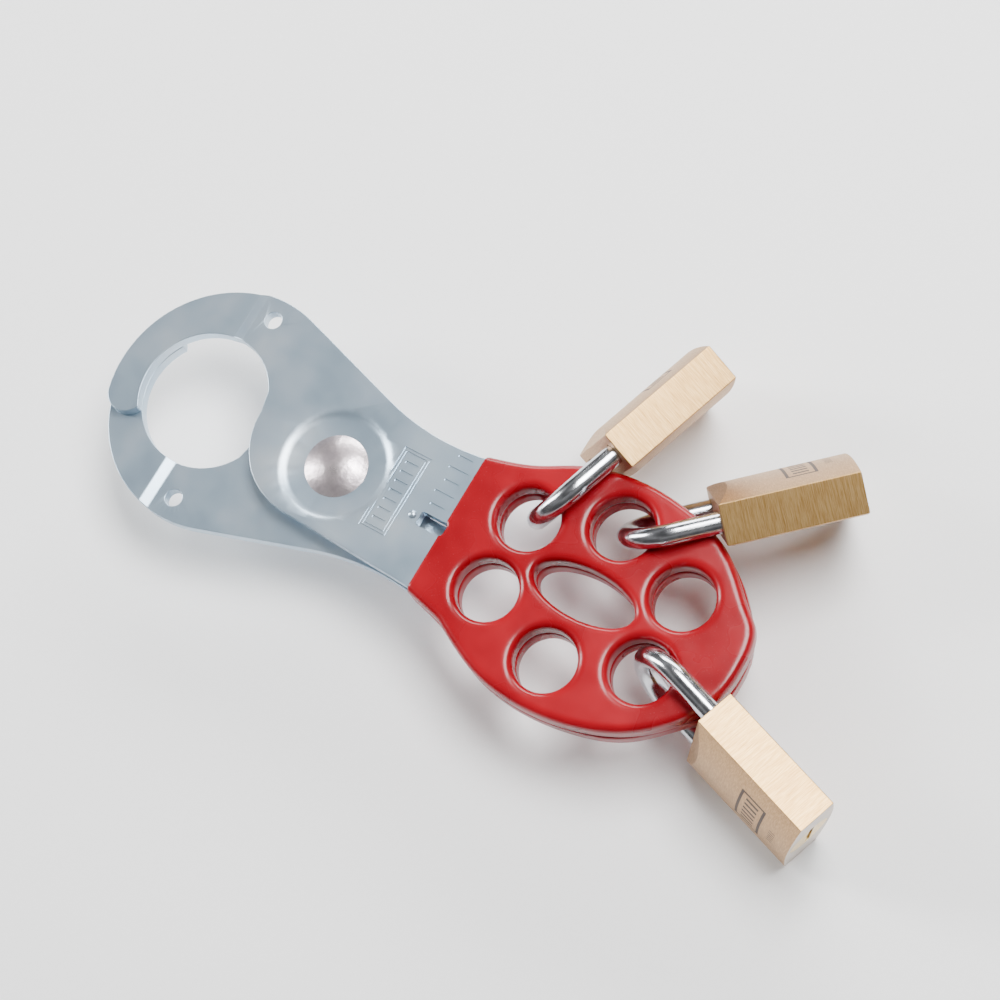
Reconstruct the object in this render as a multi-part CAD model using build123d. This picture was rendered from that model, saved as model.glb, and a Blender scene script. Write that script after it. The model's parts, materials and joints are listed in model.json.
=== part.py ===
from build123d import *
from math import cos, pi, radians, sin
import os

# Lockout hasp held shut by three small padlocks. Millimetres, +Z up.
# The hasp lies flat. The origin is the centre of the jaw opening, half way between
# the two leaves. +X runs along the handle, and the front leaf is the upper one.

# --- hasp: main places along X, from the jaw centre ---
PIVOT_X = 31.3
COATING_START_X = 56.7
HANDLE_END_X = 118.6

# --- hasp: leaf stampings ---
STEEL = 2.5
LEAF_GAP = 2.0
JOGGLE = 0.95
JOGGLE_START_X = 0.8
JOGGLE_END_X = -1.3
JAW_R = 13.2
JAW_OUTER_R = 23.8
JAW_OUTER_X = 4.3
JAW_TIP = (-14.6, -9.95)
TIP_INNER_ANGLE = 214.3
TIP_OUTER_ANGLE = 197.2
JAW_SIDE_ANGLE = 30.0
BEND_R = 1.2
WAIST_R = 50.0
WAIST_X = 48.8
WAIST_HALF = 13.5
WAIST_END_ANGLE = 280.6
LOWER_EDGE_Y = -13.95
TAPER_ANGLE = 17.1
LOBE_R = 14.9
LOBE_X = 27.3
LOBE_Y = 2.5
DISH_R = 9.35
DISH_OUTER_R = 11.5
TOOLING_HOLE_X = 4.3
TOOLING_HOLE_Y = 19.4
TOOLING_HOLE_R = 1.7

# --- hasp: handle holes, window and coating ---
COATING = 0.9
SEAM = 0.1
CORNER_INSET = 0.7
STEEL_ROOT_HALF = 13.6
STEEL_OVERLAP = 2.0
HOLE_R = 6.0
HOLES = ((70.0, 7.6), (86.4, 14.0), (102.8, 7.6))
WINDOW_X = 86.4
WINDOW_HALF_LENGTH = 10.4
WINDOW_HALF_WIDTH = 4.7
LIP_ROUND = 1.5
WINDOW_ROUND = 1.3
INNER_ROUND = 0.5
HANDLE_SIDE = (
    (66.3, 17.6), (71.3, 20.2), (76.3, 22.2), (86.4, 23.6), (96.3, 22.5), (106.3, 18.6), (114.3, 11.4),
)
HANDLE_ROOT_HALF = 14.7

# --- hasp: slot and stamped marks ---
SLOT_START_X = 51.3
SLOT_END_X = 58.2
SLOT_LOW_Y = -3.0
SLOT_HIGH_Y = -0.1
SLOT_CORNER_R = 0.5
NOTCH_START_X = 51.7
NOTCH_SHORT = 0.9
DIMPLE_X = 49.9
DIMPLE_R = 1.0
DIMPLE_SINK = 0.55
MARK_DEPTH = 0.22
MARK_LINE = 0.4
FRAME_X = 44.6
FRAME_Y = 0.7
FRAME_WIDTH = 6.0
FRAME_HEIGHT = 17.2
FRAME_STEP = 1.2
BARS = 7
BAR_PITCH = 2.0
BAR_LENGTH = 2.8
BAR_WIDTH = 0.5
TICKS = 5
TICK_X = 53.2
TICK_Y = 1.9
TICK_PITCH = 2.6
TICK_LENGTHS = (3.0, 4.2)

# --- hasp: pivot rivet ---
RIVET_R = 4.0
RIVET_HEAD_R = 6.2
RIVET_HEAD_HEIGHT = 1.7
RIVET_BORE_PLAY = 0.05
HEAD_PLAY = 0.03

# --- padlock: body, x is thickness, y is width towards the toe, z runs down from the shackle ---
BODY_WIDTH = 24.0
BODY_LENGTH = 26.0
BODY_EDGE = 7.7
BODY_CROWN = 1.5
BODY_BEVEL = 3.0
BEVEL_INSET = 0.1
SHACKLE_R = 2.0
LEG_Y = 8.3
SHACKLE_RISE = 16.6
TOE_DEPTH = 7.0
HEEL_DEPTH = 19.5
LEG_PLAY = 0.12
RELEASE = 7.5

# --- padlock: plug, latch and pins ---
PLAY = 0.1
PLUG_R = 4.4
PLUG_PLAY = 0.05
PLUG_TOP = 9.4
NOSE_OFFSET = 2.6
NOSE_R = 0.8
NOSE_HEIGHT = 4.0
KEYWAY_HALF = 0.55
KEYWAY_TOP = 2.9
KEYWAY_STEP = 0.5
KEYWAY_STEP_LOW = -1.6
KEYWAY_STEP_HIGH = -0.7
KEYWAY_START = PLUG_TOP + 1.2
LATCH_TRAVEL = 2.6
NOTCH_DEPTH = 1.4
TONGUE_TOP = 2.8
TONGUE_HEIGHT = 1.6
TONGUE_HALF = 1.5
LATCH_HALF = 3.8
LATCH_BACK = -2.1
LATCH_FRONT = 3.2
LATCH_FOOT = 2.0
LATCH_SLOT = (-1.5, 1.0)
LATCH_SLOT_START = -1.1
CHAMBER_R = 1.05
FIRST_CHAMBER = 11.7
CHAMBER_PITCH = 2.3
CHAMBERS = tuple(FIRST_CHAMBER + CHAMBER_PITCH * i for i in range(4))
KEY_PIN_TIPS = (1.2, 1.6, 1.0, 1.8)
NECK_R = 1.4
NECK_START = 9.3
LEG_CHAMFER = 0.5
SHACKLE_PIN_R = 0.7
SHACKLE_PIN_Y = -LEG_Y + NECK_R + SHACKLE_PIN_R + PLAY
SHACKLE_PIN_Z = NECK_START + SHACKLE_PIN_R + 2 * PLAY
NECK_END = SHACKLE_PIN_Z + RELEASE + SHACKLE_PIN_R + 2 * PLAY
RETAINER_R = 0.6
RETAINER_Y = -PLUG_R + 2 * PLAY
RETAINER_Z = 21.8
GROOVE_R = -RETAINER_Y - RETAINER_R - PLAY
CROSS_HOLE_START = -7.0
CROSS_HOLE_END = 2.2

# --- padlock: springs and chamber plugs ---
PIN_PLAY = 0.06
KEY_PIN_TIP_R = 0.4
KEY_PIN_TIP = 0.6
DRIVER_PIN = 2.5
CHAMBER_PLUG = 1.8
SPRING_R = 1.9
PIN_SPRING_R = CHAMBER_R - 0.08
FINE_WIRE_R = 0.12
STRONG_WIRE_R = 0.22
LATCH_SPRING_LENGTH = 0.78
LATCH_SPRING_Z = 5.0
LATCH_SPRING_TURNS = 2
LATCH_POCKET_BACK = -5.6
SHACKLE_SPRING_LENGTH = 4.3
SHACKLE_SPRING_TURNS = 6
SHACKLE_SPRING_ROOM = 4.5
PIN_SPRING_TURNS = 6

# --- cutters ---
THROUGH = 20.0

# --- padlocks on the hasp: the middle of each body's shackle end, its thickness axis and its length axis ---
PADLOCKS = (
    ((75.25, 24.94, -1.30), (-0.8679, 0.3095, 0.3887), (0.2756, 0.9508, -0.1416)),
    ((99.20, 24.97, -0.82), (-0.5574, 0.6698, 0.4905), (0.7216, 0.6831, -0.1127)),
    ((117.25, -9.99, -1.71), (-0.2808, -0.9396, 0.1957), (0.944, -0.3072, -0.1206)),
)


def rod(radius, start, end, x=0.0, y=0.0):
    """A round bar along Z from start to end."""
    return Pos(x, y, (start + end) / 2) * Cylinder(radius, abs(end - start))


def rod_y(radius, start, end, z, x=0.0):
    """A round bar along Y from start to end."""
    return Pos(x, (start + end) / 2, z) * Rot(90, 0, 0) * Cylinder(radius, abs(end - start))


def block(x0, x1, y0, y1, z0, z1):
    """A box between two corners."""
    return Pos((x0 + x1) / 2, (y0 + y1) / 2, (z0 + z1) / 2) * Box(x1 - x0, y1 - y0, z1 - z0)


def on_circle(centre_x, centre_y, radius, degrees):
    angle = radians(degrees)
    return (centre_x + radius * cos(angle), centre_y + radius * sin(angle))


# ---------------------------------------------------------------- hasp leaves

def leaf_outline():
    """The front leaf's jaw and waist: the jaw hooks over the axis, the lobe rounds the rivet."""
    tip_inner = on_circle(0, 0, JAW_R, TIP_INNER_ANGLE)
    tip_outer = on_circle(JAW_OUTER_X, 0, JAW_OUTER_R, TIP_OUTER_ANGLE)
    shoulder = on_circle(JAW_OUTER_X, 0, JAW_OUTER_R, 90 - TAPER_ANGLE)
    waist_y = WAIST_HALF + WAIST_R
    waist_in = on_circle(WAIST_X, waist_y, WAIST_R, 270 - TAPER_ANGLE)
    waist_out = on_circle(WAIST_X, waist_y, WAIST_R, WAIST_END_ANGLE)
    lobe_low = on_circle(LOBE_X, LOBE_Y, LOBE_R, 270)
    lobe_side = on_circle(LOBE_X, LOBE_Y, LOBE_R, 180)
    jaw_side = on_circle(0, 0, JAW_R, JAW_SIDE_ANGLE)
    edges = [
        ThreePointArc(tip_inner, JAW_TIP, tip_outer),
        ThreePointArc(tip_outer, on_circle(JAW_OUTER_X, 0, JAW_OUTER_R, 135), shoulder),
        Line(shoulder, waist_in),
        ThreePointArc(waist_in, (WAIST_X, WAIST_HALF), waist_out),
        Line(waist_out, (waist_out[0], LOWER_EDGE_Y)),
        Line((waist_out[0], LOWER_EDGE_Y), lobe_low),
        ThreePointArc(lobe_low, on_circle(LOBE_X, LOBE_Y, LOBE_R, 225), lobe_side),
        Line(lobe_side, jaw_side),
        ThreePointArc(jaw_side, on_circle(0, 0, JAW_R, 120), tip_inner),
    ]
    return make_face(edges)


def handle_outline(start_x, root_half, inset):
    """The handle's outline, drawn in by the inset."""
    side = [(start_x, root_half)]
    side += [(x, y - inset) for x, y in HANDLE_SIDE[:-1]]
    last_x, last_y = HANDLE_SIDE[-1]
    side.append((last_x - CORNER_INSET * inset, last_y - CORNER_INSET * inset))
    side.append((HANDLE_END_X - inset, 0))
    upper = Spline(*side, tangents=[(1, 0.25), (0, -1)])
    lower = Spline(*[(x, -y) for x, y in reversed(side)], tangents=[(0, -1), (-1, 0.25)])
    return make_face([upper, lower, Line((start_x, -root_half), (start_x, root_half))])


def handle_openings(extra):
    """The six padlock holes and the window, made larger by extra, through both leaves."""
    cutters = []
    for x, y in HOLES:
        for side in (1, -1):
            cutters.append(rod(HOLE_R + extra, -THROUGH, THROUGH, x, side * y))
    window = Pos(WINDOW_X, 0) * Ellipse(WINDOW_HALF_LENGTH + extra, WINDOW_HALF_WIDTH + extra)
    cutters.append(Pos(0, 0, -THROUGH) * extrude(window, 2 * THROUGH))
    return cutters


def leaf_section():
    """Side view of the plate, with the jaw set inward through a short ramp."""
    low = LEAF_GAP / 2
    high = low + STEEL
    start = -2 * JAW_OUTER_R
    end = HANDLE_END_X + THROUGH
    points = [
        (start, low - JOGGLE), (JOGGLE_END_X, low - JOGGLE), (JOGGLE_START_X, low), (end, low),
        (end, high), (JOGGLE_START_X, high), (JOGGLE_END_X, high - JOGGLE), (start, high - JOGGLE),
    ]
    face = make_face(Polyline(*points, close=True))
    bends = [v for v in face.vertices() if abs(v.X) < THROUGH]
    return fillet(bends, BEND_R)


def dish():
    """The round seat pressed inward under each rivet head."""
    low = LEAF_GAP / 2
    points = [
        (0, low - JOGGLE), (DISH_R, low - JOGGLE), (DISH_OUTER_R, low),
        (DISH_OUTER_R, low + STEEL), (DISH_R, low + STEEL - JOGGLE), (0, low + STEEL - JOGGLE),
    ]
    wire = Polyline(*[(x, 0, z) for x, z in points], close=True)
    return Pos(PIVOT_X, 0, 0) * revolve(make_face(wire), Axis.Z)


def stamped_marks():
    """A plain double frame with bars, and a row of ticks, sunk into the steel."""
    top = LEAF_GAP / 2 + STEEL
    marks = []
    for shrink in (0.0, FRAME_STEP):
        outer = Rectangle(FRAME_WIDTH - shrink, FRAME_HEIGHT - shrink)
        inner = Rectangle(FRAME_WIDTH - shrink - 2 * MARK_LINE, FRAME_HEIGHT - shrink - 2 * MARK_LINE)
        marks.append(Pos(FRAME_X, FRAME_Y) * (outer - inner))
    for i in range(BARS):
        bar_y = FRAME_Y + (i - BARS // 2) * BAR_PITCH
        marks.append(Pos(FRAME_X, bar_y) * Rectangle(BAR_LENGTH, BAR_WIDTH))
    for i in range(TICKS):
        marks.append(Pos(TICK_X, TICK_Y + i * TICK_PITCH) * Rectangle(TICK_LENGTHS[i % 2], MARK_LINE))
    return [Pos(0, 0, top - MARK_DEPTH) * extrude(mark, 1) for mark in marks]


def leaf():
    """One steel leaf, drawn as the front one; the back leaf is the same part turned over."""
    steel_handle = handle_outline(COATING_START_X - STEEL_OVERLAP, STEEL_ROOT_HALF, COATING)
    outline = leaf_outline() + steel_handle
    width = 4 * THROUGH
    section = Pos(0, width / 2, 0) * extrude(Rot(90, 0, 0) * leaf_section(), width)
    plate = section & Pos(0, 0, -THROUGH) * extrude(outline, 2 * THROUGH)
    plate -= rod(DISH_OUTER_R, -THROUGH, THROUGH, PIVOT_X)
    plate += dish()
    for cutter in handle_openings(COATING):
        plate -= cutter
    plate -= rod(TOOLING_HOLE_R, -THROUGH, THROUGH, TOOLING_HOLE_X, TOOLING_HOLE_Y)
    slot = block(SLOT_START_X, SLOT_END_X, SLOT_LOW_Y, SLOT_HIGH_Y, -THROUGH, THROUGH)
    plate -= fillet(slot.edges().filter_by(Axis.Z), SLOT_CORNER_R)
    for mark in stamped_marks():
        plate -= mark
    slot_middle = (SLOT_LOW_Y + SLOT_HIGH_Y) / 2
    plate += Pos(DIMPLE_X, slot_middle, LEAF_GAP / 2 + STEEL - DIMPLE_SINK) * Sphere(DIMPLE_R)
    return plate


def level_edges(solid, z, width):
    """Edges that lie level at height z and span the width given along X."""
    found = []
    for edge in solid.edges():
        box = edge.bounding_box()
        level = abs(box.min.Z - z) < 0.01 and abs(box.max.Z - z) < 0.01
        if level and abs(box.size.X - width) < 0.1:
            found.append(edge)
    return found


def coating():
    """Dipped vinyl over the front leaf's handle, with rounded rims and hole lips."""
    top = LEAF_GAP / 2 + STEEL + COATING
    outline = handle_outline(COATING_START_X, HANDLE_ROOT_HALF, 0)
    skin = Pos(0, 0, SEAM) * extrude(outline, top - SEAM)
    for cutter in handle_openings(0):
        skin -= cutter
    hole_width = 2 * HOLE_R
    window_width = 2 * WINDOW_HALF_LENGTH
    handle_length = HANDLE_END_X - COATING_START_X
    rounds = ((hole_width, LIP_ROUND), (window_width, WINDOW_ROUND), (handle_length, LIP_ROUND))
    for width, radius in rounds:
        skin = fillet(level_edges(skin, top, width), radius)
    for width in (hole_width, window_width, handle_length):
        skin = fillet(level_edges(skin, SEAM, width), INNER_ROUND)
    notch = block(NOTCH_START_X, SLOT_END_X - NOTCH_SHORT, SLOT_LOW_Y, SLOT_HIGH_Y, 0, THROUGH)
    return skin - fillet(notch.edges().filter_by(Axis.Z), NOTCH_SHORT)


def pivot_rivet():
    """Domed rivet, fast in the front leaf, with running room in the back leaf."""
    seat = LEAF_GAP / 2 + STEEL - JOGGLE
    ball_r = (RIVET_HEAD_R ** 2 + RIVET_HEAD_HEIGHT ** 2) / (2 * RIVET_HEAD_HEIGHT)
    cap = Pos(0, 0, RIVET_HEAD_HEIGHT - ball_r) * Sphere(ball_r)
    cap &= rod(RIVET_HEAD_R, 0, RIVET_HEAD_HEIGHT + 1)
    shank = rod(RIVET_R, -seat - HEAD_PLAY, seat)
    front_head = Pos(0, 0, seat) * cap
    back_head = Rot(180, 0, 0) * (Pos(0, 0, seat + HEAD_PLAY) * cap)
    return Pos(PIVOT_X, 0, 0) * (shank + front_head + back_head)


# ------------------------------------------------------------------- padlocks

def crown(y):
    """Half the body's thickness at a place across its width."""
    return BODY_EDGE / 2 + BODY_CROWN * (1 - (2 * y / BODY_WIDTH) ** 2)


def padlock_body():
    """Brass block with crowned wide faces, sloped in at the shackle's end to the narrow faces' thickness."""
    half = BODY_WIDTH / 2
    edge = BODY_EDGE / 2
    middle = edge + BODY_CROWN
    outline = make_face([
        ThreePointArc((edge, -half), (middle, 0), (edge, half)),
        Line((edge, half), (-edge, half)),
        ThreePointArc((-edge, half), (-middle, 0), (-edge, -half)),
        Line((-edge, -half), (edge, -half)),
    ])
    top = edge - BEVEL_INSET
    side = [
        (top, 0), (middle, BODY_BEVEL), (middle, BODY_LENGTH),
        (-middle, BODY_LENGTH), (-middle, BODY_BEVEL), (-top, 0),
    ]
    profile = make_face(Polyline(*[(x, -half, z) for x, z in side], close=True))
    body = extrude(outline, BODY_LENGTH) & extrude(profile, BODY_WIDTH, dir=(0, 1, 0))
    body -= rod(SHACKLE_R + LEG_PLAY, -1, TOE_DEPTH + 3 * PLAY, 0, LEG_Y)
    body -= rod(SHACKLE_R + LEG_PLAY, -1, HEEL_DEPTH + SHACKLE_SPRING_ROOM, 0, -LEG_Y)
    body -= rod(PLUG_R + PLUG_PLAY, PLUG_TOP - PLUG_PLAY, BODY_LENGTH + 1)
    pocket_half = LATCH_HALF + PLAY
    pocket_front = LATCH_FRONT + 2 * PLAY
    pocket_top = TONGUE_TOP - PLAY
    body -= block(-pocket_half, pocket_half, LATCH_POCKET_BACK, pocket_front, pocket_top, PLUG_TOP)
    slot_half = TONGUE_HALF + PLAY
    slot_end = LEG_Y - SHACKLE_R / 2
    tongue_bottom = TONGUE_TOP + TONGUE_HEIGHT + PLAY
    body -= block(-slot_half, slot_half, LATCH_FRONT, slot_end, pocket_top, tongue_bottom)
    for z in CHAMBERS:
        body -= rod_y(CHAMBER_R, PLUG_R - 1, half + 1, z)
    body -= cross_hole(SHACKLE_PIN_Y, SHACKLE_PIN_Z, SHACKLE_PIN_R)
    body -= cross_hole(RETAINER_Y, RETAINER_Z, RETAINER_R)
    return body


def cross_hole(y, z, radius, start=CROSS_HOLE_START):
    """A bar along the body's thickness, let in from the plain wide face."""
    middle = (start + CROSS_HOLE_END) / 2
    return Pos(middle, y, z) * Rot(0, 90, 0) * Cylinder(radius, CROSS_HOLE_END - start)


def cross_pin(y, z, radius):
    """A pin that ends flush with the plain wide face."""
    return cross_hole(y, z, radius, start=PLUG_PLAY - crown(y))


def padlock_shackle():
    bend = SHACKLE_RISE - LEG_Y
    heel = rod(SHACKLE_R, -bend, HEEL_DEPTH, 0, -LEG_Y)
    heel = chamfer(heel.edges().sort_by(Axis.Z)[-1], LEG_CHAMFER)
    toe = rod(SHACKLE_R, -bend, TOE_DEPTH, 0, LEG_Y)
    toe = chamfer(toe.edges().sort_by(Axis.Z)[-1], LEG_CHAMFER)
    ring = Pos(0, 0, -bend) * Rot(0, 90, 0) * Torus(LEG_Y, SHACKLE_R)
    reach = bend + THROUGH
    crown_half = ring & block(-THROUGH, THROUGH, -THROUGH, THROUGH, -reach, -bend)
    collar = rod(SHACKLE_R + 1, NECK_START, NECK_END, 0, -LEG_Y)
    collar -= rod(NECK_R, NECK_START, NECK_END, 0, -LEG_Y)
    shackle = heel + toe + crown_half - collar
    inner = LEG_Y - SHACKLE_R
    deep = inner + NOTCH_DEPTH
    notch_top = TONGUE_TOP - 2 * PLAY
    notch_bottom = TOE_DEPTH + 1
    ramp_start = TONGUE_TOP + TONGUE_HEIGHT + 2 * PLAY
    ramp_end_y = deep - LATCH_TRAVEL / RELEASE * (notch_bottom - ramp_start)
    notch = Polyline(
        (0, inner - 1, notch_top), (0, deep, notch_top), (0, deep, ramp_start),
        (0, ramp_end_y, notch_bottom), (0, inner - 1, notch_bottom), close=True)
    cutter = extrude(make_face(notch), 2 * THROUGH, dir=(1, 0, 0))
    return shackle - Pos(-THROUGH, 0, 0) * cutter


def padlock_key_plug():
    plug = rod(PLUG_R, PLUG_TOP, BODY_LENGTH)
    groove_half = RETAINER_R + PLAY
    groove = rod(PLUG_R + 1, RETAINER_Z - groove_half, RETAINER_Z + groove_half)
    groove -= rod(GROOVE_R, RETAINER_Z - groove_half, RETAINER_Z + groove_half)
    plug -= groove
    keyway_end = BODY_LENGTH + 1
    plug -= block(-KEYWAY_HALF, KEYWAY_HALF, -PLUG_R - 1, KEYWAY_TOP, KEYWAY_START, keyway_end)
    step_x = KEYWAY_HALF + KEYWAY_STEP
    plug -= block(-KEYWAY_HALF, step_x, KEYWAY_STEP_LOW, KEYWAY_STEP_HIGH, KEYWAY_START, keyway_end)
    for z in CHAMBERS:
        plug -= rod_y(CHAMBER_R, 2 * KEY_PIN_TIP_R, PLUG_R + 1, z)
    nose = rod(NOSE_R, PLUG_TOP - NOSE_HEIGHT, PLUG_TOP, NOSE_OFFSET)
    return plug + nose


def padlock_latch():
    """Bolt with a tongue in the shackle's notch and a slot for the plug's nose."""
    head_bottom = PLUG_TOP - LATCH_FOOT
    head = block(-LATCH_HALF, LATCH_HALF, LATCH_BACK, LATCH_FRONT, TONGUE_TOP, head_bottom)
    reach = LEG_Y - SHACKLE_R + NOTCH_DEPTH - 1.5 * PLAY
    tongue_bottom = TONGUE_TOP + TONGUE_HEIGHT
    tongue = block(-TONGUE_HALF, TONGUE_HALF, LATCH_FRONT - 2 * PLAY, reach, TONGUE_TOP, tongue_bottom)
    slot_low, slot_high = LATCH_SLOT
    slot_top = PLUG_TOP - NOSE_HEIGHT - 3 * PLAY
    slot = block(LATCH_SLOT_START, LATCH_HALF + 1, slot_low, slot_high, slot_top, PLUG_TOP)
    return head + tongue - slot


def coil_spring(outer_r, wire_r, length, turns):
    """A compression spring from z = 0 up to its length."""
    coil_r = outer_r - wire_r
    travel = length - 2 * wire_r
    helix = Helix(travel / turns, travel, coil_r)
    start = helix.position_at(0)
    section = Plane(start, z_dir=helix.tangent_at(0)) * Circle(wire_r)
    return Pos(0, 0, wire_r) * sweep(section, helix)


def padlock_latch_spring():
    spring = coil_spring(SPRING_R, FINE_WIRE_R, LATCH_SPRING_LENGTH, LATCH_SPRING_TURNS)
    return Pos(0, LATCH_POCKET_BACK + 0.2 * PLAY, LATCH_SPRING_Z) * Rot(-90, 0, 0) * spring


def padlock_shackle_spring():
    spring = coil_spring(SPRING_R, STRONG_WIRE_R, SHACKLE_SPRING_LENGTH, SHACKLE_SPRING_TURNS)
    return Pos(0, -LEG_Y, HEEL_DEPTH + PLAY) * spring


def pin_row(make):
    """One piece in every pin chamber, as a group of separate solids."""
    return Compound(children=[make(i, z) for i, z in enumerate(CHAMBERS)])


def key_pin(i, z):
    pin_r = CHAMBER_R - PIN_PLAY
    start = KEY_PIN_TIPS[i]
    shaft = rod_y(pin_r, start + KEY_PIN_TIP, PLUG_R - PLAY, z)
    tip = Rot(90, 0, 0) * Cone(pin_r, KEY_PIN_TIP_R, KEY_PIN_TIP)
    return shaft + Pos(0, start + KEY_PIN_TIP / 2, z) * tip


def padlock_key_pins():
    return pin_row(key_pin)


def padlock_driver_pins():
    start = PLUG_R + PLAY
    return pin_row(lambda i, z: rod_y(CHAMBER_R - PIN_PLAY, start, start + DRIVER_PIN, z))


def padlock_pin_springs():
    start = PLUG_R + DRIVER_PIN + 2 * PLAY
    length = BODY_WIDTH / 2 - CHAMBER_PLUG - PLAY - start
    spring = coil_spring(PIN_SPRING_R, FINE_WIRE_R, length, PIN_SPRING_TURNS)
    return pin_row(lambda i, z: Pos(0, start, z) * Rot(-90, 0, 0) * spring)


def padlock_chamber_plugs():
    half = BODY_WIDTH / 2
    return pin_row(lambda i, z: rod_y(CHAMBER_R, half - CHAMBER_PLUG, half, z))


PADLOCK_PIECES = {
    "body": padlock_body(),
    "shackle": padlock_shackle(),
    "key_plug": padlock_key_plug(),
    "plug_retainer": cross_pin(RETAINER_Y, RETAINER_Z, RETAINER_R),
    "latch": padlock_latch(),
    "latch_spring": padlock_latch_spring(),
    "shackle_spring": padlock_shackle_spring(),
    "shackle_pin": cross_pin(SHACKLE_PIN_Y, SHACKLE_PIN_Z, SHACKLE_PIN_R),
    "key_pins": padlock_key_pins(),
    "driver_pins": padlock_driver_pins(),
    "pin_springs": padlock_pin_springs(),
    "chamber_plugs": padlock_chamber_plugs(),
}


# ------------------------------------------------------------------- assembly

def hasp_pieces():
    steel = leaf()
    skin = coating() - steel
    back_bore = RIVET_R + RIVET_BORE_PLAY
    turn_over = Rot(180, 0, 0)
    return {
        "front_leaf": steel - rod(RIVET_R, -THROUGH, THROUGH, PIVOT_X),
        "back_leaf": turn_over * (steel - rod(back_bore, -THROUGH, THROUGH, PIVOT_X)),
        "front_grip_coating": skin,
        "back_grip_coating": turn_over * skin,
        "pivot_rivet": pivot_rivet(),
    }


nodes = hasp_pieces()
for number, (place, thickness_axis, length_axis) in enumerate(PADLOCKS, 1):
    seat = Plane(origin=place, x_dir=thickness_axis, z_dir=length_axis)
    for name, piece in PADLOCK_PIECES.items():
        nodes[f"padlock_{number}_{name}"] = seat.location * piece

os.makedirs("parts", exist_ok=True)
for name, shape in nodes.items():
    export_step(shape, f"parts/{name}.step")
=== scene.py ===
import json
import math

import bmesh
import bpy
from mathutils import Matrix, Vector, noise

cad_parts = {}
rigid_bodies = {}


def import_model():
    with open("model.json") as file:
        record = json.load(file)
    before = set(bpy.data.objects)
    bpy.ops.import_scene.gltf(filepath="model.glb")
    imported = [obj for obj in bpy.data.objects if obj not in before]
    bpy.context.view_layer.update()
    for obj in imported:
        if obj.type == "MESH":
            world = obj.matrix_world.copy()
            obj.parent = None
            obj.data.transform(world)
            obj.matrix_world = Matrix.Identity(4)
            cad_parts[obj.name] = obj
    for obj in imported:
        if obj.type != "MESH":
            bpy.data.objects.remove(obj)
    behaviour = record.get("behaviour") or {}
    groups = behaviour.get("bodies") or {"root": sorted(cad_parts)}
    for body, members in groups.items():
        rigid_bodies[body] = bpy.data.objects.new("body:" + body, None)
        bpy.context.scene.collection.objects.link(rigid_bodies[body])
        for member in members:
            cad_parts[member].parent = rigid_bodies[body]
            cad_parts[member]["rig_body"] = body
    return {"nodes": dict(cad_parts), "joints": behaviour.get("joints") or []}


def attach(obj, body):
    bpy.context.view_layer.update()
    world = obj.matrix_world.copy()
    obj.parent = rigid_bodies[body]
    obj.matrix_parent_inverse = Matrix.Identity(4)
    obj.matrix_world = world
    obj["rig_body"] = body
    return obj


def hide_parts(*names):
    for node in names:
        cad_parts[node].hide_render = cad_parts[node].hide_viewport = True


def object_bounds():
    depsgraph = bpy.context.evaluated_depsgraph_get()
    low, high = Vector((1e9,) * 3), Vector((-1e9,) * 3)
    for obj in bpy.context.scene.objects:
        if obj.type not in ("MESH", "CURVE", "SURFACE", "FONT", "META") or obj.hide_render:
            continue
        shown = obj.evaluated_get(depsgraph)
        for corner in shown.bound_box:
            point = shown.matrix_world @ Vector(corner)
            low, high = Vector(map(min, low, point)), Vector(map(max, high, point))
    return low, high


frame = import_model()
CAD_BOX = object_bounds()

MM = 0.001
NODES = frame["nodes"]
JOINTS = {joint["name"]: joint for joint in frame["joints"]}
PIVOT = Vector(JOINTS["hasp_pivot"]["pos_m"])

# the padlock body's block, in millimetres
BODY_WIDTH = 24.0
BODY_LENGTH = 26.0
BODY_EDGE = 7.7
BODY_CROWN = 1.5
BODY_BEVEL = 3.0
PLUG_DEPTH = 20 * MM

# how near a vertex lies to the block's face, edge or crowned edge to count as on it, in millimetres
ON_FACE = 0.1
NEAR_EDGE = 0.2
NEAR_CROWN = 0.3

# meshes: the stamped marks' box on a leaf, edge roundings, and the angles that count as an edge
MARKS_X = (39 * MM, 60 * MM)
MARKS_Y = (-9.5 * MM, 13.2 * MM)
MERGE = 0.02 * MM
LEAF_ROUND = 0.32 * MM
BODY_ROUND = 0.22 * MM
ROUND_SEGMENTS = 3
SHARP_DEGREES = 35
BODY_SHARP_DEGREES = 20
FLAT_FACE_WEIGHT = 100

# the vinyl's flow, and its skin as noise scales with their shares of a height in millimetres
VINYL_VOXEL = 0.30 * MM
VINYL_SOFTEN = 0.5
VINYL_SOFTEN_TIMES = 5
SKIN_WAVES = ((110, 0.5), (260, 0.2))
SKIN_HEIGHT = 0.05

# colours, as one colour or as places on a noise with their colours
ZINC_TINTS = ((0.32, (0.41, 0.54, 0.66)), (0.48, (0.45, 0.57, 0.68)),
              (0.60, (0.48, 0.58, 0.67)), (0.72, (0.52, 0.59, 0.65)))
ZINC_PINK = (0.52, 0.48, 0.55)
RIVET_TINTS = ((0.35, (0.40, 0.35, 0.37)), (0.55, (0.66, 0.58, 0.60)), (0.75, (0.76, 0.69, 0.70)))
VINYL_REDS = ((0.35, (0.22, 0.0, 0.005)), (0.65, (0.30, 0.0, 0.007)))
CHROME_GREYS = ((0.3, (0.52, 0.53, 0.57)), (0.7, (0.66, 0.67, 0.70)))
BRASS_WIDE = ((0.30, (0.36, 0.21, 0.095)), (0.55, (0.47, 0.285, 0.135)), (0.75, (0.58, 0.38, 0.20)))
BRASS_NARROW = ((0.28, (0.36, 0.20, 0.060)), (0.50, (0.54, 0.33, 0.125)), (0.72, (0.68, 0.46, 0.21)))
BRASS_BOTTOM = (0.55, 0.49, 0.44)
BRASS_CLOUD = (0.36, 0.20, 0.09)
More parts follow.
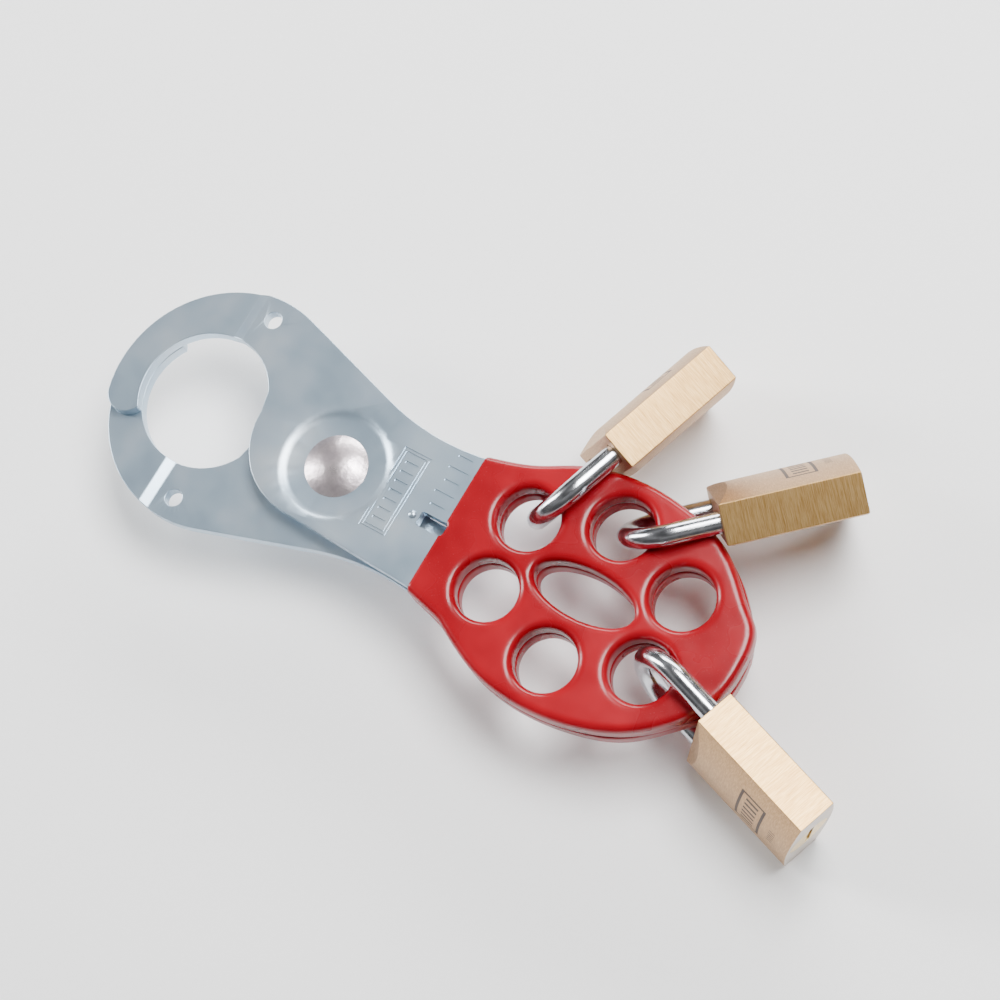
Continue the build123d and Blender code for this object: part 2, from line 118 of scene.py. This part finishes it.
MARK_INK = (0.035, 0.03, 0.04)
INNER_BRASS = ((0.62, 0.44, 0.18), (0.86, 0.68, 0.36))
SPRING_GREY = ((0.40, 0.40, 0.42), (0.62, 0.62, 0.64))
PAPER_WHITES = ((0.3, (0.96, 0.96, 0.96)), (0.7, (0.98, 0.98, 0.98)))

# the padlock's marks, in millimetres across the face and down from its top
FRAME_CENTRE = (0.0, 16.2)
FRAME_OUTSIDE = (7.0, 3.0)
FRAME_INSIDE = (6.4, 2.4)
BARS_HALF = (5.4, 1.5)
BAR_PITCH = 2.0
BAR_FADE = (0.20, 0.24)
TICKS_CENTRE = (0.0, 21.8)
TICKS_HALF = (2.9, 0.7)
TICK_PITCH = 1.0
TICK_FADE = (0.14, 0.18)
MARK_FADE = (-0.03, 0.05)
STRIPE_SHIFT = 20.0
METRES_TO_MM = (1000, 1000, 1000)

# the camera's axes and its place from the pivot, with the two shifts in millimetres
VIEW_BACK = Vector((0.345, -0.187, 0.921))
VIEW_RIGHT = Vector((0.834, 0.508, -0.209))
VIEW_DISTANCE = 500 * MM
VIEW_SHIFT_RIGHT = 30.2
VIEW_SHIFT_DOWN = 5.5
LENS = 95.4
SENSOR = 36
NEAR_CLIP = 0.01

# the studio: its middle is this far from the pivot in millimetres, and each light has its name,
# its place from the middle and its size in metres, and its power in watts
LIGHTS_MIDDLE = Vector((25, 0, 0))
LIGHTS = (
    ("key", (0.16, 0.24, 0.63), (0.44, 0.28), 9.5),
    ("back", (-0.20, 0.65, 0.30), (0.60, 0.20), 6.0),
    ("fill", (-0.65, -0.15, 0.28), (0.20, 0.50), 6.0),
)
ROOM_GREYS = ((0.0, 0.55), (0.12, 0.10), (0.45, 0.16), (0.72, 0.42), (0.90, 0.12))
ROOM_STRENGTH = 0.8
FLOOR_HALF = 1.5


# ------------------------------------------------------------------ padlock axes

class Padlock:
    """One padlock's place: the middle of its shackle end and its three axes at rest."""

    def __init__(self, number):
        turn = JOINTS[f"padlock_{number}_key_turn"]
        slide = JOINTS[f"padlock_{number}_latch_slide"]
        self.number = number
        self.length = -Vector(turn["axis"]).normalized()
        self.width = -Vector(slide["axis"]).normalized()
        self.thickness = self.width.cross(self.length).normalized()
        self.top = Vector(turn["pos_m"]) - self.length * PLUG_DEPTH

    def on_block_edge(self, point):
        """True on the block's outside edges, and not on the rims of its holes."""
        place = (point - self.top) / MM
        across = abs(place.dot(self.thickness))
        beside = abs(place.dot(self.width))
        along = place.dot(self.length)
        crown = BODY_EDGE / 2 + BODY_CROWN * (1 - (2 * beside / BODY_WIDTH) ** 2)
        slope = BODY_EDGE / 2 + BODY_CROWN * along / BODY_BEVEL
        at_side = beside > BODY_WIDTH / 2 - ON_FACE
        corner = at_side and across > BODY_EDGE / 2 - NEAR_EDGE
        bottom = along > BODY_LENGTH - ON_FACE and (at_side or across > crown - NEAR_CROWN)
        top = along < BODY_BEVEL + ON_FACE and (at_side or across > min(crown, slope) - NEAR_EDGE)
        return corner or bottom or top


# ------------------------------------------------------------------ shader graphs

def set_stops(color_ramp, stops):
    elements = color_ramp.elements
    while len(elements) < len(stops):
        elements.new(0.5)
    for element, (position, colour) in zip(elements, stops):
        element.position = position
        element.color = (*colour, 1)


class Graph:
    """A short way to write a material's nodes."""

    def __init__(self, name):
        self.material = bpy.data.materials.new(name)
        self.material.use_nodes = True
        self.tree = self.material.node_tree
        self.tree.nodes.clear()
        output = self.tree.nodes.new("ShaderNodeOutputMaterial")
        self.shader = self.tree.nodes.new("ShaderNodeBsdfPrincipled")
        self.tree.links.new(self.shader.outputs[0], output.inputs["Surface"])

    def feed(self, socket, value):
        if isinstance(value, bpy.types.NodeSocket):
            self.tree.links.new(value, socket)
        elif socket.type == "RGBA":
            socket.default_value = (*value, 1)
        else:
            socket.default_value = value

    def set(self, **values):
        for name, value in values.items():
            self.feed(self.shader.inputs[name.replace("_", " ")], value)

    def node(self, kind, *values, operation=None):
        """A new node with its first inputs fed in order."""
        node = self.tree.nodes.new(kind)
        if operation:
            node.operation = operation
        for socket, value in zip(node.inputs, values):
            self.feed(socket, value)
        return node

    def coordinates(self, which="Object"):
        return self.node("ShaderNodeTexCoord").outputs[which]

    def math(self, operation, a, b=0.0):
        return self.node("ShaderNodeMath", a, b, operation=operation).outputs[0]

    def vector(self, operation, a, b):
        node = self.node("ShaderNodeVectorMath", a, b, operation=operation)
        return node.outputs["Value" if operation == "DOT_PRODUCT" else "Vector"]

    def combine(self, x, y, z):
        return self.node("ShaderNodeCombineXYZ", x, y, z).outputs[0]

    def noise(self, vector, scale, detail, roughness):
        node = self.node("ShaderNodeTexNoise")
        self.feed(node.inputs["Vector"], vector)
        self.feed(node.inputs["Scale"], scale)
        self.feed(node.inputs["Detail"], detail)
        self.feed(node.inputs["Roughness"], roughness)
        return node.outputs["Fac"]

    def ramp(self, fac, stops):
        node = self.node("ShaderNodeValToRGB", fac)
        set_stops(node.color_ramp, stops)
        return node.outputs["Color"]

    def remap(self, value, span, new_span=(0, 1)):
        """Takes the span's two ends to the new span's, and holds the value there beyond them."""
        return self.node("ShaderNodeMapRange", value, *span, *new_span).outputs[0]

    def mix(self, fac, a, b):
        """Mixes colours, which are the node's inputs 6 and 7 and its output 2."""
        node = self.node("ShaderNodeMix")
        node.data_type = "RGBA"
        self.feed(node.inputs[0], fac)
        self.feed(node.inputs[6], a)
        self.feed(node.inputs[7], b)
        return node.outputs[2]

    def bump(self, height, strength, distance, normal=None):
        node = self.node("ShaderNodeBump")
        self.feed(node.inputs["Strength"], strength)
        self.feed(node.inputs["Distance"], distance)
        self.feed(node.inputs["Height"], height)
        if normal:
            self.feed(node.inputs["Normal"], normal)
        return node.outputs[0]


def zinc_steel():
    """Bright zinc plate: pale blue-grey satin with faint pink patches and fine scuffs."""
    g = Graph("zinc_plated_steel")
    place = g.coordinates()
    clouds = g.noise(place, scale=70, detail=3, roughness=0.55)
    patches = g.noise(place, scale=240, detail=4, roughness=0.6)
    grain = g.noise(place, scale=5200, detail=2, roughness=0.6)
    drawn_out = g.vector("MULTIPLY", place, (900, 5200, 900))
    scuffs = g.noise(drawn_out, scale=1.0, detail=3, roughness=0.7)
    pink = g.remap(patches, (0.62, 0.80), (0, 0.18))
    dullness = g.remap(scuffs, (0.6, 0.8), (0, 0.06))
    scratched = g.bump(scuffs, strength=0.10, distance=0.00005)
    g.set(Base_Color=g.mix(pink, g.ramp(clouds, ZINC_TINTS), ZINC_PINK), Metallic=0.82, IOR=1.5,
          Roughness=g.math("ADD", g.remap(clouds, (0.3, 0.7), (0.27, 0.36)), dullness),
          Normal=g.bump(grain, strength=0.12, distance=0.00004, normal=scratched))
    return g.material


def rivet_steel():
    """The peened head: bright, a little warm, with soft dents and a darker bloom."""
    g = Graph("rivet_steel")
    place = g.coordinates()
    bloom = g.noise(place, scale=260, detail=3, roughness=0.6)
    grain = g.noise(place, scale=3500, detail=3, roughness=0.7)
    dented = g.bump(bloom, strength=0.35, distance=0.0004)
    g.set(Base_Color=g.ramp(bloom, RIVET_TINTS), Metallic=0.9,
          Roughness=g.remap(bloom, (0.3, 0.7), (0.40, 0.26)),
          Normal=g.bump(grain, strength=0.16, distance=0.00006, normal=dented))
    return g.material


def red_vinyl():
    """Dipped PVC: deep glossy red with a faint orange-peel skin and fine scuffs."""
    g = Graph("red_vinyl")
    place = g.coordinates()
    depth = g.noise(place, scale=90, detail=2, roughness=0.5)
    peel = g.noise(place, scale=420, detail=2, roughness=0.4)
    scuffs = g.noise(place, scale=2600, detail=4, roughness=0.75)
    dullness = g.remap(scuffs, (0.62, 0.8), (0, 0.12))
    g.set(Base_Color=g.ramp(depth, VINYL_REDS), Metallic=0.0, IOR=1.42,
          Coat_Weight=0.12, Coat_Roughness=0.08,
          Roughness=g.math("ADD", g.remap(depth, (0.3, 0.7), (0.24, 0.32)), dullness),
          Normal=g.bump(peel, strength=0.10, distance=0.0003))
    return g.material


def chrome():
    """Polished plating with hair-fine rub marks."""
    g = Graph("chromed_steel")
    place = g.coordinates()
    smear = g.noise(place, scale=500, detail=3, roughness=0.6)
    hairs = g.noise(place, scale=6000, detail=2, roughness=0.7)
    g.set(Base_Color=g.ramp(smear, CHROME_GREYS), Metallic=1.0,
          Roughness=g.remap(smear, (0.3, 0.75), (0.15, 0.24)),
          Normal=g.bump(hairs, strength=0.05, distance=0.00004))
    return g.material


def plain_metal(name, dark, light, rough):
    """Machined small parts inside the padlocks."""
    g = Graph(name)
    turned = g.noise(g.coordinates(), scale=1800, detail=3, roughness=0.6)
    g.set(Base_Color=g.ramp(turned, ((0.35, dark), (0.65, light))), Metallic=1.0,
          Roughness=g.remap(turned, (0.3, 0.7), (rough, rough + 0.12)),
          Normal=g.bump(turned, strength=0.15, distance=0.00005))
    return g.material


def box_mask(g, u, v, centre, half):
    """1 inside a rectangle of the face, 0 outside it."""
    inside = [g.math("SUBTRACT", reach, g.math("ABSOLUTE", g.math("SUBTRACT", place, middle)))
              for place, middle, reach in zip((u, v), centre, half)]
    return g.remap(g.math("MINIMUM", *inside), MARK_FADE)


def stripes(g, u, pitch, fade):
    """1 on stripes side by side along u, 0 between them. The shift keeps u above zero."""
    phase = g.math("FRACT", g.math("DIVIDE", g.math("ADD", u, STRIPE_SHIFT), pitch))
    return g.remap(g.math("ABSOLUTE", g.math("SUBTRACT", phase, 0.5)), fade, (1, 0))


def etched_marks(g, u, v):
    """A plain frame with bars in it, and a row of ticks, as the face's only marking."""
    line = g.math("SUBTRACT", box_mask(g, u, v, FRAME_CENTRE, FRAME_OUTSIDE),
                  box_mask(g, u, v, FRAME_CENTRE, FRAME_INSIDE))
    bars = g.math("MULTIPLY", stripes(g, u, BAR_PITCH, BAR_FADE),
                  box_mask(g, u, v, FRAME_CENTRE, BARS_HALF))
    ticks = g.math("MULTIPLY", stripes(g, u, TICK_PITCH, TICK_FADE),
                   box_mask(g, u, v, TICKS_CENTRE, TICKS_HALF))
    return g.math("MAXIMUM", line, g.math("MAXIMUM", bars, ticks))


def brass_body(lock):
    """Brass block: satin pinkish wide faces, narrow faces brushed across, marked on one side."""
    g = Graph(f"brass_body_{lock.number}")
    axes = (lock.thickness, lock.width, lock.length)
    place = g.vector("SUBTRACT", g.coordinates(), lock.top)
    place = g.vector("MULTIPLY", place, METRES_TO_MM)
    across, beside, along = (g.vector("DOT_PRODUCT", place, axis) for axis in axes)
    normal = g.coordinates("Normal")
    facing_wide, facing_narrow, facing_end = (g.vector("DOT_PRODUCT", normal, axis) for axis in axes)
    narrow = g.remap(g.math("ABSOLUTE", facing_narrow), (0.70, 0.86))
    bottom = g.remap(facing_end, (0.80, 0.95))

    block = g.combine(across, beside, along)
    brushed = g.noise(g.vector("MULTIPLY", block, (0.35, 0.8, 7.0)), scale=1.0, detail=4, roughness=0.65)
    sanded = g.noise(g.vector("MULTIPLY", block, (5.0, 0.5, 5.0)), scale=1.0, detail=4, roughness=0.6)
    cloud = g.noise(block, scale=0.22, detail=3, roughness=0.6)

    colour = g.mix(narrow, g.ramp(sanded, BRASS_WIDE), g.ramp(brushed, BRASS_NARROW))
    colour = g.mix(bottom, colour, BRASS_BOTTOM)
    colour = g.mix(g.remap(cloud, (0.55, 0.8), (0, 0.22)), colour, BRASS_CLOUD)
    marks = g.math("MULTIPLY", etched_marks(g, beside, along), g.remap(facing_wide, (0.75, 0.85)))
    colour = g.mix(g.math("MULTIPLY", marks, 0.88), colour, MARK_INK)
    satin = g.remap(narrow, (0, 1), (0.42, 0.40))
    g.set(Base_Color=colour, Metallic=g.remap(marks, (0, 1), (0.95, 0.25)),
          Roughness=g.math("ADD", satin, g.remap(marks, (0, 1), (0, 0.25))),
          Normal=g.bump(g.mix(narrow, sanded, brushed), strength=0.22, distance=0.00006))
    return g.material


# ------------------------------------------------------------------ mesh pieces

def add_object(name, data):
    thing = bpy.data.objects.new(name, data)
    bpy.context.scene.collection.objects.link(thing)
    return thing


def edit_mesh(mesh, change):
    """Runs change() on the mesh's editable form and writes it back."""
    work = bmesh.new()
    work.from_mesh(mesh)
    change(work)
    work.to_mesh(mesh)
    work.free()


def copy_of(node, name):
    """A new object with the CAD node's mesh, its split vertices joined again."""
    mesh = NODES[node].data.copy()
    mesh.name = name
    edit_mesh(mesh, lambda work: bmesh.ops.remove_doubles(work, verts=work.verts, dist=MERGE))
    return add_object(name, mesh)


def apply_modifiers(piece):
    bpy.context.view_layer.update()
    depsgraph = bpy.context.evaluated_depsgraph_get()
    mesh = bpy.data.meshes.new_from_object(piece.evaluated_get(depsgraph))
    piece.modifiers.clear()
    piece.data = mesh


def is_sharp(edge, degrees):
    return edge.is_manifold and edge.calc_face_angle(0) > math.radians(degrees)


def round_edges(piece, width, keep):
    """Bevels the sharp edges that keep() accepts, as a rolled or tumbled edge."""
    def weigh(work):
        weight = work.edges.layers.float.new("bevel_weight_edge")
        for edge in work.edges:
            if is_sharp(edge, SHARP_DEGREES) and all(keep(vertex.co) for vertex in edge.verts):
                edge[weight] = 1.0

    edit_mesh(piece.data, weigh)
    bevel = piece.modifiers.new("round", "BEVEL")
    bevel.limit_method = "WEIGHT"
    bevel.width = width
    bevel.segments = ROUND_SEGMENTS
    bevel.use_clamp_overlap = True
    apply_modifiers(piece)


def smooth_by_angle(piece, degrees=SHARP_DEGREES):
    """Smooth shading with sharp edges, and with the large faces kept flat."""
    def mark_sharp(work):
        for edge in work.edges:
            edge.smooth = not is_sharp(edge, degrees)

    piece.data.shade_smooth()
    edit_mesh(piece.data, mark_sharp)
    level = piece.modifiers.new("level", "WEIGHTED_NORMAL")
    level.mode = "FACE_AREA"
    level.weight = FLAT_FACE_WEIGHT
    level.keep_sharp = True
    apply_modifiers(piece)


def paint(piece, material):
    piece.data.materials.clear()
    piece.data.materials.append(material)


def stand_for(piece, node, material):
    """The piece takes the CAD node's place on the CAD node's body."""
    paint(piece, material)
    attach(piece, NODES[node]["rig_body"])
    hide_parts(node)


def make_leaf(side, material):
    """A steel leaf with rolled edges everywhere but in the stamped marks."""
    node = f"{side}_leaf"
    piece = copy_of(node, f"{side}_leaf_plate")
    sign = 1 if side == "front" else -1

    def outside_marks(point):
        in_x = MARKS_X[0] < point.x < MARKS_X[1]
        in_y = MARKS_Y[0] < sign * point.y < MARKS_Y[1]
        return not (in_x and in_y)

    round_edges(piece, LEAF_ROUND, outside_marks)
    smooth_by_angle(piece)
    stand_for(piece, node, material)


def make_coating(side, material):
    """Dipped vinyl: every edge flows, and the skin is very slightly uneven."""
    node = f"{side}_grip_coating"
    piece = copy_of(node, f"{side}_vinyl_grip")
    remesh = piece.modifiers.new("flow", "REMESH")
    remesh.mode = "VOXEL"
    remesh.voxel_size = VINYL_VOXEL
    smooth = piece.modifiers.new("soften", "SMOOTH")
    smooth.factor = VINYL_SOFTEN
    smooth.iterations = VINYL_SOFTEN_TIMES
    apply_modifiers(piece)
    piece.data.shade_smooth()
    moved = []
    for vertex in piece.data.vertices:
        wave = sum(noise.noise(vertex.co * scale) * share for scale, share in SKIN_WAVES)
        moved.extend(vertex.co + vertex.normal * wave * SKIN_HEIGHT * MM)
    piece.data.vertices.foreach_set("co", moved)
    piece.data.update()
    stand_for(piece, node, material)


def make_rivet(material):
    """The rivet with its domes smoothed."""
    piece = copy_of("pivot_rivet", "pivot_rivet_heads")
    smooth_by_angle(piece)
    stand_for(piece, "pivot_rivet", material)


def make_padlock(lock, plating, brass, spring):
    """Chooses each padlock piece's finish, and gives the body broken edges."""
    prefix = f"padlock_{lock.number}"
    body = copy_of(f"{prefix}_body", f"{prefix}_body_block")
    round_edges(body, BODY_ROUND, lock.on_block_edge)
    smooth_by_angle(body, BODY_SHARP_DEGREES)
    block = brass_body(lock)
    stand_for(body, f"{prefix}_body", block)
    finishes = (
        (plating, ("shackle",)),
        (block, ("plug_retainer", "shackle_pin", "chamber_plugs")),
        (brass, ("key_plug", "latch", "key_pins", "driver_pins")),
        (spring, ("latch_spring", "shackle_spring", "pin_springs")),
    )
    for finish, pieces in finishes:
        for piece in pieces:
            paint(NODES[f"{prefix}_{piece}"], finish)


# ------------------------------------------------------------------ studio

def camera():
    """The view that the object is shown from: above the front leaf, from the handle's near side."""
    back = VIEW_BACK.normalized()
    right = (VIEW_RIGHT - back * VIEW_RIGHT.dot(back)).normalized()
    up = back.cross(right)
    data = bpy.data.cameras.new("camera")
    data.lens = LENS
    data.sensor_width = SENSOR
    data.clip_start = NEAR_CLIP
    place = PIVOT + right * VIEW_SHIFT_RIGHT * MM - up * VIEW_SHIFT_DOWN * MM + back * VIEW_DISTANCE
    eye = add_object("camera", data)
    eye.matrix_world = Matrix.Translation(place) @ Matrix((right, up, back)).transposed().to_4x4()
    bpy.context.scene.camera = eye


def floor():
    """White paper under the lowest point of the part."""
    g = Graph("floor_paper")
    grain = g.noise(g.coordinates(), scale=900, detail=3, roughness=0.6)
    g.set(Base_Color=g.ramp(grain, PAPER_WHITES), Roughness=0.9)
    low = CAD_BOX[0][2]
    signs = ((-1, -1), (1, -1), (1, 1), (-1, 1))
    corners = [(x * FLOOR_HALF, y * FLOOR_HALF, low) for x, y in signs]
    mesh = bpy.data.meshes.new("floor")
    mesh.from_pydata(corners, [], [(0, 1, 2, 3)])
    mesh.materials.append(g.material)
    piece = add_object("floor", mesh)


def area_light(name, place, size, power, target):
    data = bpy.data.lights.new(name, "AREA")
    data.shape = "RECTANGLE"
    data.size, data.size_y = size
    data.energy = power
    aim = (target - place).to_track_quat("-Z", "Y")
    add_object(name, data).matrix_world = Matrix.Translation(place) @ aim.to_matrix().to_4x4()


def studio_world():
    """A grey room, bright up to the horizon, dark above it, with a lighter band high up."""
    world = bpy.data.worlds.new("studio")
    world.use_nodes = True
    tree = world.node_tree
    background = tree.nodes["Background"]
    direction = tree.nodes.new("ShaderNodeTexCoord")
    split = tree.nodes.new("ShaderNodeSeparateXYZ")
    ramp = tree.nodes.new("ShaderNodeValToRGB")
    tree.links.new(direction.outputs["Generated"], split.inputs[0])
    tree.links.new(split.outputs["Z"], ramp.inputs[0])
    tree.links.new(ramp.outputs["Color"], background.inputs["Color"])
    set_stops(ramp.color_ramp, [(position, (grey, grey, grey)) for position, grey in ROOM_GREYS])
    background.inputs["Strength"].default_value = ROOM_STRENGTH
    bpy.context.scene.world = world


def studio():
    middle = PIVOT + LIGHTS_MIDDLE * MM
    for name, offset, size, power in LIGHTS:
        area_light(name, middle + Vector(offset), size, power, middle)
    studio_world()
    floor()


def build():
    zinc = zinc_steel()
    vinyl = red_vinyl()
    for side in ("front", "back"):
        make_leaf(side, zinc)
        make_coating(side, vinyl)
    make_rivet(rivet_steel())
    plating = chrome()
    brass = plain_metal("brass_inner", *INNER_BRASS, rough=0.28)
    spring = plain_metal("spring_steel", *SPRING_GREY, rough=0.30)
    for number in (1, 2, 3):
        make_padlock(Padlock(number), plating, brass, spring)


build()
camera()
studio()
